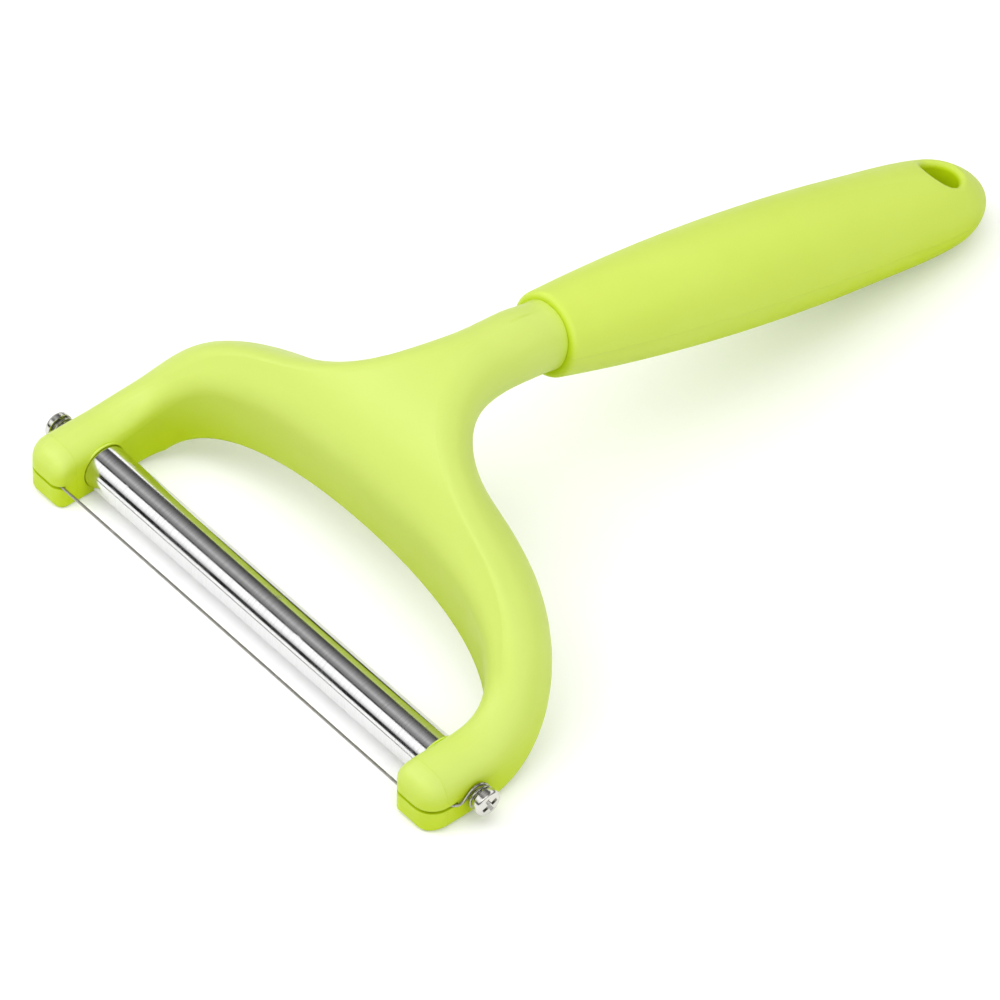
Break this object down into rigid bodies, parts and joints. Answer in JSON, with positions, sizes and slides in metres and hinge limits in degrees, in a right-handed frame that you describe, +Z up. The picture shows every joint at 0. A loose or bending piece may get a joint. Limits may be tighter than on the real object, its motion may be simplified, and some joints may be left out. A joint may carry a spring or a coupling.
{
  "type": "cheese slicer",
  "caption": "Wire cheese slicer: a wishbone yoke on an offset neck with a slip-on grip, a free-turning steel roller and a taut cutting wire wound on clamp screws.",
  "frame": {"origin": "on the table under the middle of the tool's box: midway across, midway along its length", "axes": "+X across the tool along the roller, +Y from the wire to the grip's end, +Z up from the table"},
  "size_m": [0.1298, 0.1934, 0.0458],
  "materials": {
    "lime_plastic": "satin moulded",
    "polished_steel": "polished with fine turning marks",
    "bush_plastic": "natural nylon",
    "wire_steel": "bright drawn",
    "screw_steel": "bright plated"
  },
  "bodies": {
    "frame": {"yoke": "lime_plastic", "grip": "lime_plastic", "cutting_wire": "wire_steel", "clamp_screw_left": "screw_steel", "clamp_screw_right": "screw_steel"},
    "roller": {"roller_tube": "polished_steel", "roller_bush_left": "bush_plastic", "roller_bush_right": "bush_plastic"}
  },
  "joints": [
    {"name": "roller_spin", "type": "hinge", "parent": "frame", "child": "roller", "pos_m": [0, -0.0854, 0.0056], "axis": [1, 0, 0], "continuous": true}
  ]
}
